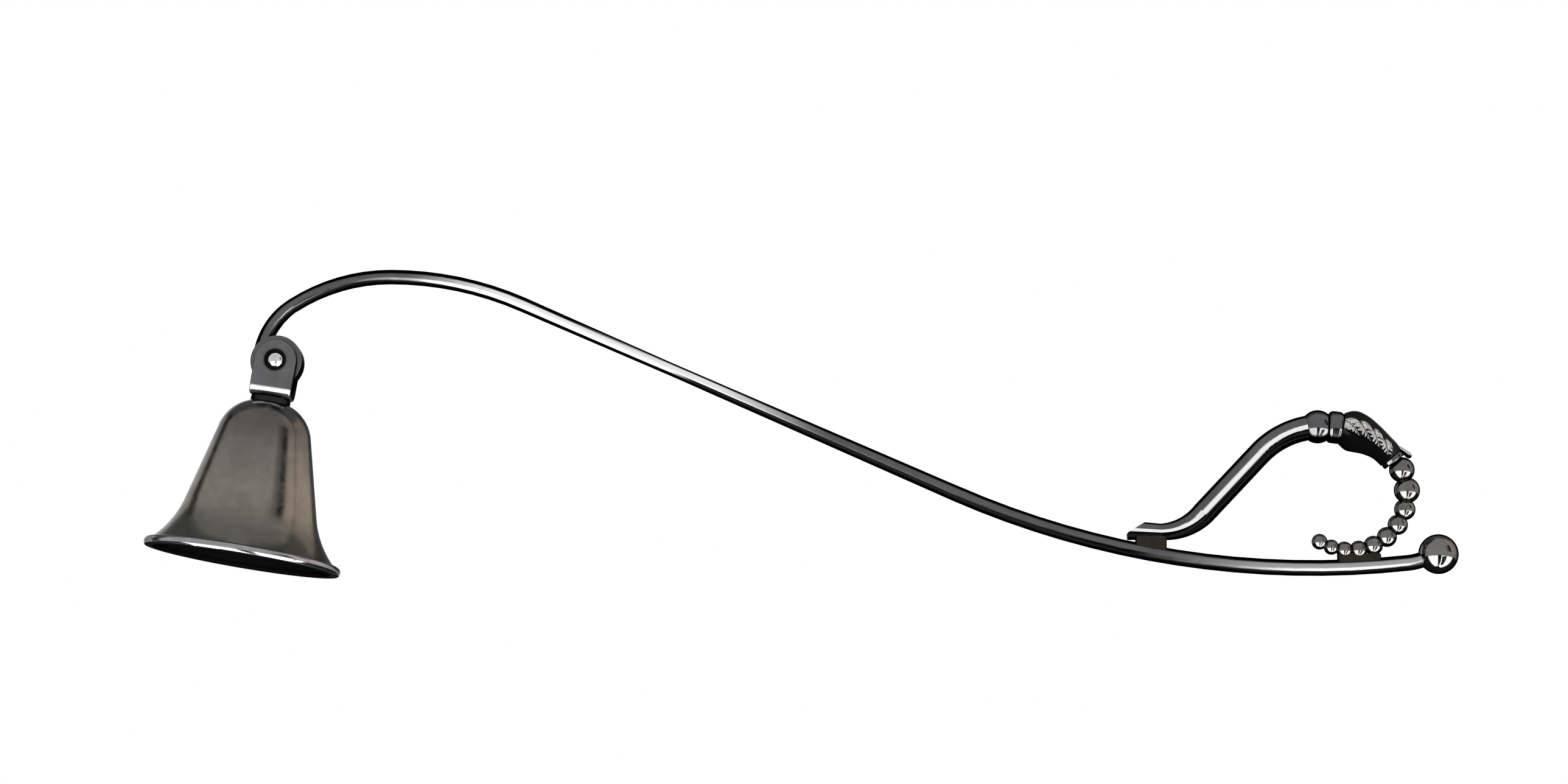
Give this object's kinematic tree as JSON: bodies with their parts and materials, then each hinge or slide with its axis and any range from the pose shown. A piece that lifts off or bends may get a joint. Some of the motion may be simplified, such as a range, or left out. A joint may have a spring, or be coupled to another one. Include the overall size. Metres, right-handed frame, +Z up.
{
  "type": "candle snuffer",
  "caption": "Candle snuffer with a flared bell that swings on a hinge pin at the end of a long curved rod; a stem, leaf bud and beads form a finger loop before the ball end.",
  "frame": {"origin": "centre of the bounding box at floor level, where the rod's heel and the bell's rim rest", "axes": "+X along the handle towards the ball, +Y across it along the hinge pin, +Z up"},
  "size_m": [0.2466, 0.037, 0.0583],
  "materials": {
    "bell_silver": "polished silver plate, darkened by tarnish, satin inside",
    "hinge_silver": "polished silver plate with dark seams",
    "rod_silver": "polished silver plate, darkened by tarnish",
    "ornament_silver": "cast and chased silver plate, dark in the hollows"
  },
  "bodies": {
    "handle": {"handle_rod": "rod_silver", "ball_finial": "rod_silver", "stem": "rod_silver", "stem_pad": "rod_silver", "collar_bead": "ornament_silver", "collar_ring": "ornament_silver", "bud": "ornament_silver", "bud_tip_collar": "ornament_silver", "bead_01": "ornament_silver", "bead_02": "ornament_silver", "bead_03": "ornament_silver", "bead_04": "ornament_silver", "bead_05": "ornament_silver", "bead_06": "ornament_silver", "bead_07": "ornament_silver", "bead_08": "ornament_silver", "bead_09": "ornament_silver", "bead_10": "ornament_silver", "tail_pad": "rod_silver"},
    "bell": {"bell_cup": "bell_silver", "rim_wire": "bell_silver", "neck_collar": "hinge_silver", "crown_rivet": "hinge_silver", "yoke": "hinge_silver", "hinge_pin": "hinge_silver"}
  },
  "joints": [
    {"name": "bell_swing", "type": "hinge", "parent": "handle", "child": "bell", "pos_m": [-0.09909, 0, 0.04053], "axis": [0, 1, 0], "range_deg": [-86, 100]}
  ]
}
